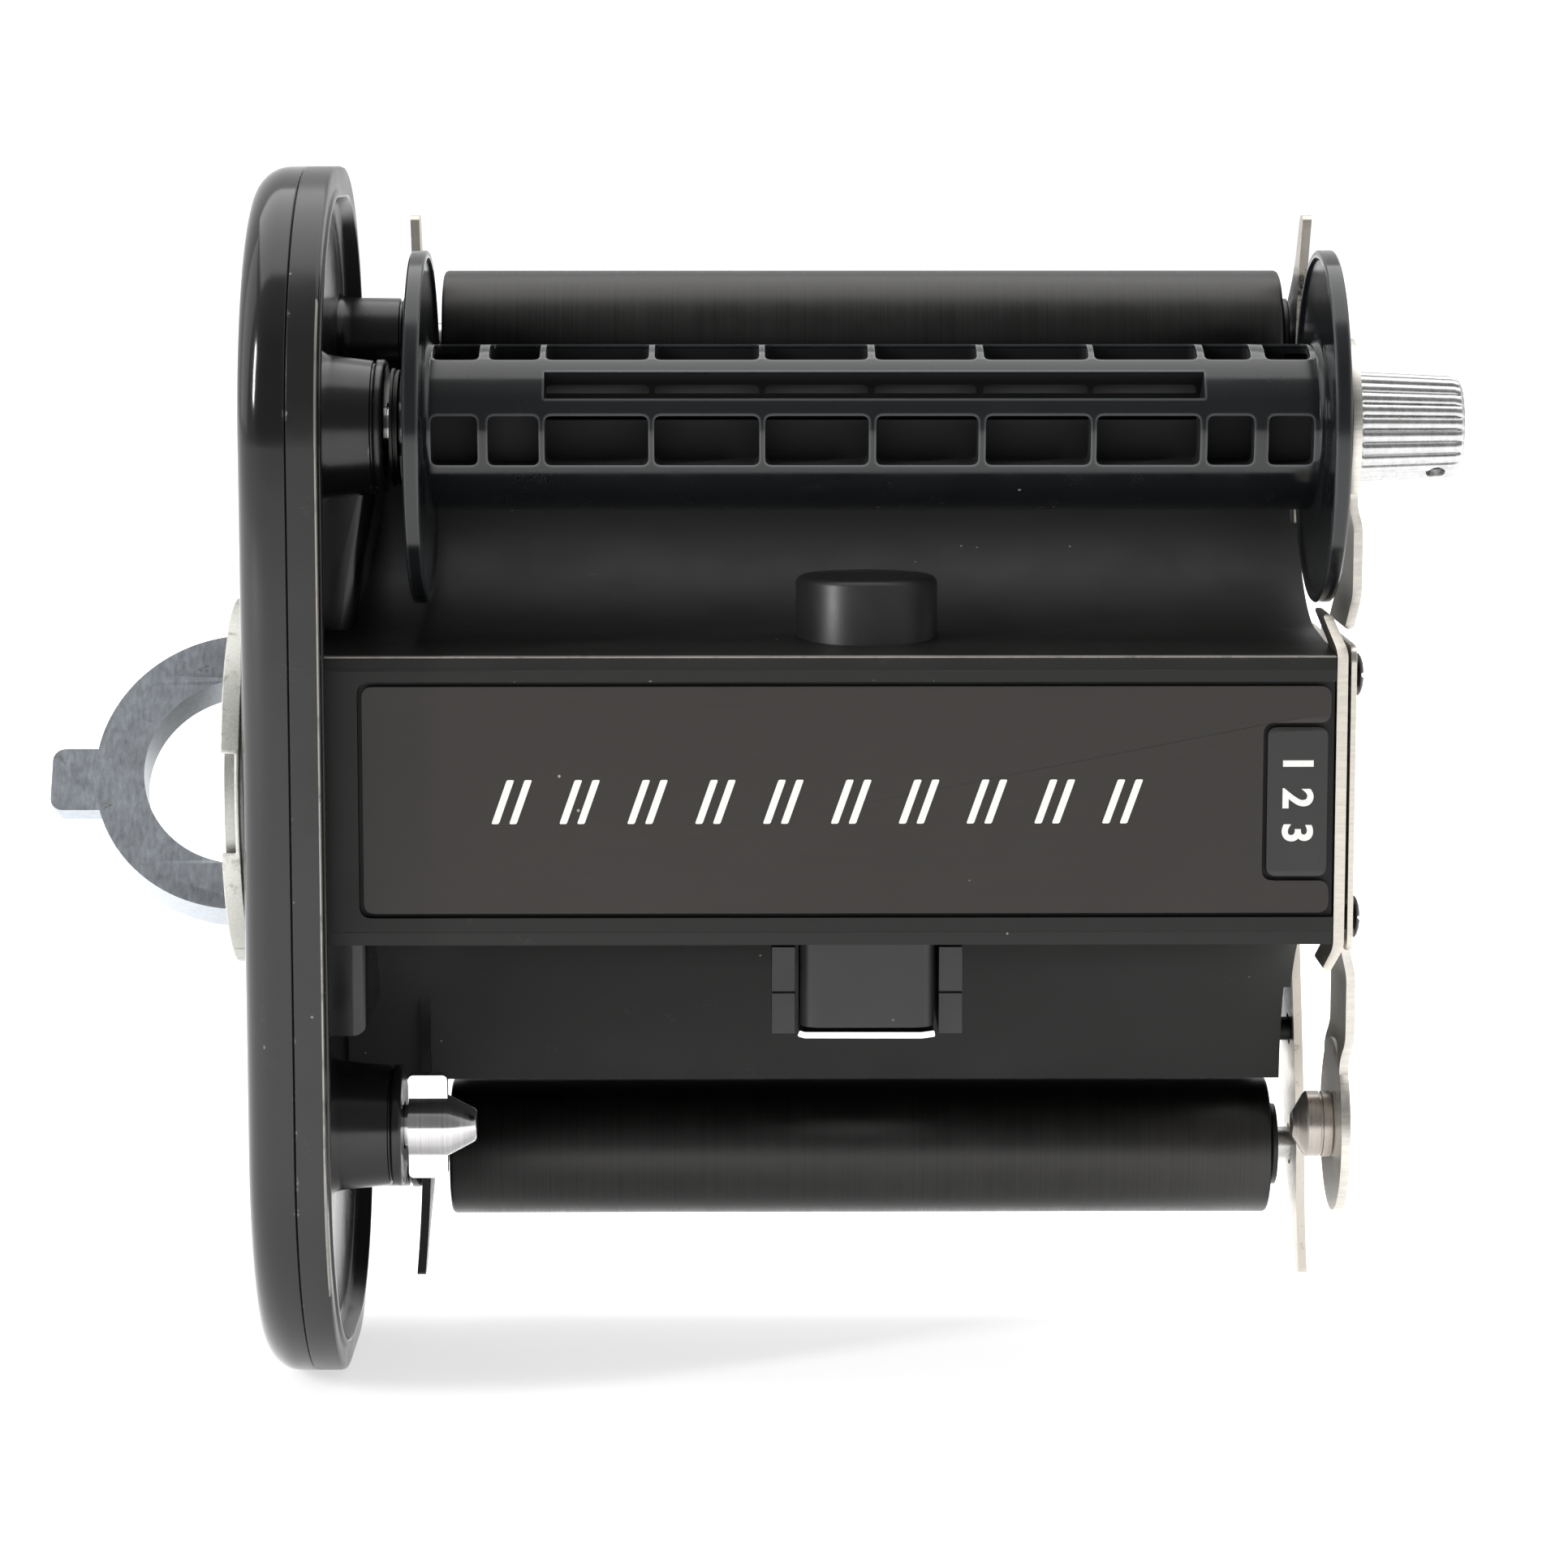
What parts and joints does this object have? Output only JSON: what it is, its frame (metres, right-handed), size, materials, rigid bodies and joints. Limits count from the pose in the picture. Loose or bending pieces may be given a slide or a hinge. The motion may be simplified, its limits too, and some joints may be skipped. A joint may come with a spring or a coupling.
{
  "type": "roll film magazine insert",
  "caption": "Film insert for a roll-film magazine: a D-shaped end plate with a folding lock key, and a cradle that carries the take-up spool, rollers, sprung pressure plate and winding knob.",
  "frame": {"origin": "centre of the bounding box at its lowest point, the bottom edge of the end plate", "axes": "+X along the spools from the lock key to the winding knob; +Y from the loading side to the pressure plate; +Z from the feed spool to the take-up spool, which is up in the picture"},
  "size_m": [0.101, 0.0404, 0.0877],
  "materials": {
    "black_paint": "satin black paint, worn at the edges",
    "gloss_black_paint": "semi-gloss black paint",
    "name_plate_black": "satin brown-black",
    "black_plastic": "satin black",
    "gloss_black_plastic": "glossy black",
    "black_anodised": "satin black anodised",
    "cast_grey": "matte cast grey",
    "key_steel": "bluish zinc-plated steel",
    "chrome": "polished",
    "nickel": "warm nickel plate",
    "steel": "plain spring steel",
    "black_steel": "blackened"
  },
  "bodies": {
    "insert_frame": {"end_cover": "gloss_black_paint", "end_frame": "black_paint", "key_bezel": "cast_grey", "body_block": "black_paint", "name_plate": "name_plate_black", "number_label": "gloss_black_paint", "upper_axle": "steel", "lower_axle": "steel", "upper_collar": "black_plastic", "lower_collar": "black_plastic", "upper_plate_screw": "black_steel", "lower_plate_screw": "black_steel", "left_side_sheet": "black_steel", "right_side_sheet": "black_steel", "upper_left_sheet_rivet": "black_steel", "lower_left_sheet_rivet": "black_steel", "upper_right_sheet_rivet": "black_steel", "lower_right_sheet_rivet": "black_steel", "pressure_spring": "steel", "damper_spring": "steel", "shoe_spring": "steel", "shoe_guide_left": "black_plastic", "shoe_guide_right": "black_plastic", "side_plate": "nickel", "spring_plate": "nickel"},
    "key_hub": {"key_hub": "cast_grey", "key_pin": "steel", "lock_cam": "steel"},
    "key_ring": {"key_ring": "key_steel"},
    "take_up_spool": {"take_up_spool": "gloss_black_plastic"},
    "take_up_left_peg": {"take_up_left_peg": "chrome"},
    "winding_knob": {"winding_knob": "chrome", "winding_shaft": "chrome", "knob_pin": "steel"},
    "feed_left_peg": {"feed_left_peg": "chrome"},
    "feed_right_peg": {"feed_right_peg": "chrome"},
    "upper_roller": {"upper_roller": "black_anodised"},
    "lower_roller": {"lower_roller": "black_anodised"},
    "roll_damper": {"roll_damper": "black_plastic"},
    "brake_shoe": {"brake_shoe": "black_plastic", "brake_strip": "chrome"},
    "pressure_plate": {"pressure_plate": "black_anodised"},
    "upper_arm": {"upper_arm": "nickel"},
    "lower_arm": {"lower_arm": "nickel"}
  },
  "joints": [
    {"name": "key_turn", "type": "hinge", "parent": "insert_frame", "child": "key_hub", "pos_m": [-0.03585, -0.0047, 0.04395], "axis": [1, 0, 0], "range_deg": [-59, 31]},
    {"name": "key_fold", "type": "hinge", "parent": "key_hub", "child": "key_ring", "pos_m": [-0.03585, -0.0047, 0.04395], "axis": [0, 0.515, 0.8572], "range_deg": [0, 84]},
    {"name": "take_up_spin", "type": "hinge", "parent": "insert_frame", "child": "take_up_spool", "pos_m": [0.00855, -0.0042, 0.06925], "axis": [1, 0, 0], "continuous": true},
    {"name": "take_up_left_peg_spin", "type": "hinge", "parent": "insert_frame", "child": "take_up_left_peg", "pos_m": [0.00855, -0.0042, 0.06925], "axis": [1, 0, 0], "continuous": true},
    {"name": "upper_arm_flex", "type": "hinge", "parent": "insert_frame", "child": "upper_arm", "pos_m": [0.0422, -0.0042, 0.05495], "axis": [0, 1, 0], "range_deg": [0, 12], "stiffness_Nm_per_rad": 0.3, "springref_deg": -5.73},
    {"name": "knob_spin", "type": "hinge", "parent": "upper_arm", "child": "winding_knob", "pos_m": [0.04695, -0.0042, 0.06925], "axis": [1, 0, 0], "continuous": true},
    {"name": "lower_arm_flex", "type": "hinge", "parent": "insert_frame", "child": "lower_arm", "pos_m": [0.0422, -0.0042, 0.03275], "axis": [0, -1, 0], "range_deg": [0, 14], "stiffness_Nm_per_rad": 0.3, "springref_deg": -5.73},
    {"name": "feed_right_peg_spin", "type": "hinge", "parent": "lower_arm", "child": "feed_right_peg", "pos_m": [0.00855, -0.0042, 0.01845], "axis": [1, 0, 0], "continuous": true},
    {"name": "feed_left_peg_spin", "type": "hinge", "parent": "insert_frame", "child": "feed_left_peg", "pos_m": [0.00855, -0.0042, 0.01845], "axis": [1, 0, 0], "continuous": true},
    {"name": "upper_roller_spin", "type": "hinge", "parent": "insert_frame", "child": "upper_roller", "pos_m": [0.00855, 0.0141, 0.0747], "axis": [1, 0, 0], "continuous": true},
    {"name": "lower_roller_spin", "type": "hinge", "parent": "insert_frame", "child": "lower_roller", "pos_m": [0.00855, 0.0141, 0.013], "axis": [1, 0, 0], "continuous": true},
    {"name": "damper_press", "type": "slide", "parent": "insert_frame", "child": "roll_damper", "axis": [0, 0, -1], "range_m": [0, 0.0038], "stiffness_N_per_m": 80, "springref_m": -0.004, "deforming": ["damper_spring"]},
    {"name": "shoe_press", "type": "slide", "parent": "insert_frame", "child": "brake_shoe", "axis": [0, 0, 1], "range_m": [0, 0.0045], "stiffness_N_per_m": 100, "springref_m": -0.005, "deforming": ["shoe_spring"]},
    {"name": "pressure_plate_press", "type": "slide", "parent": "insert_frame", "child": "pressure_plate", "axis": [0, -1, 0], "range_m": [0, 0.002], "stiffness_N_per_m": 400, "springref_m": -0.002, "deforming": ["pressure_spring"]}
  ],
  "couplings": [
    {"joint": "take_up_left_peg_spin", "follows": "take_up_spin", "ratio": 1},
    {"joint": "knob_spin", "follows": "take_up_spin", "ratio": 1}
  ]
}
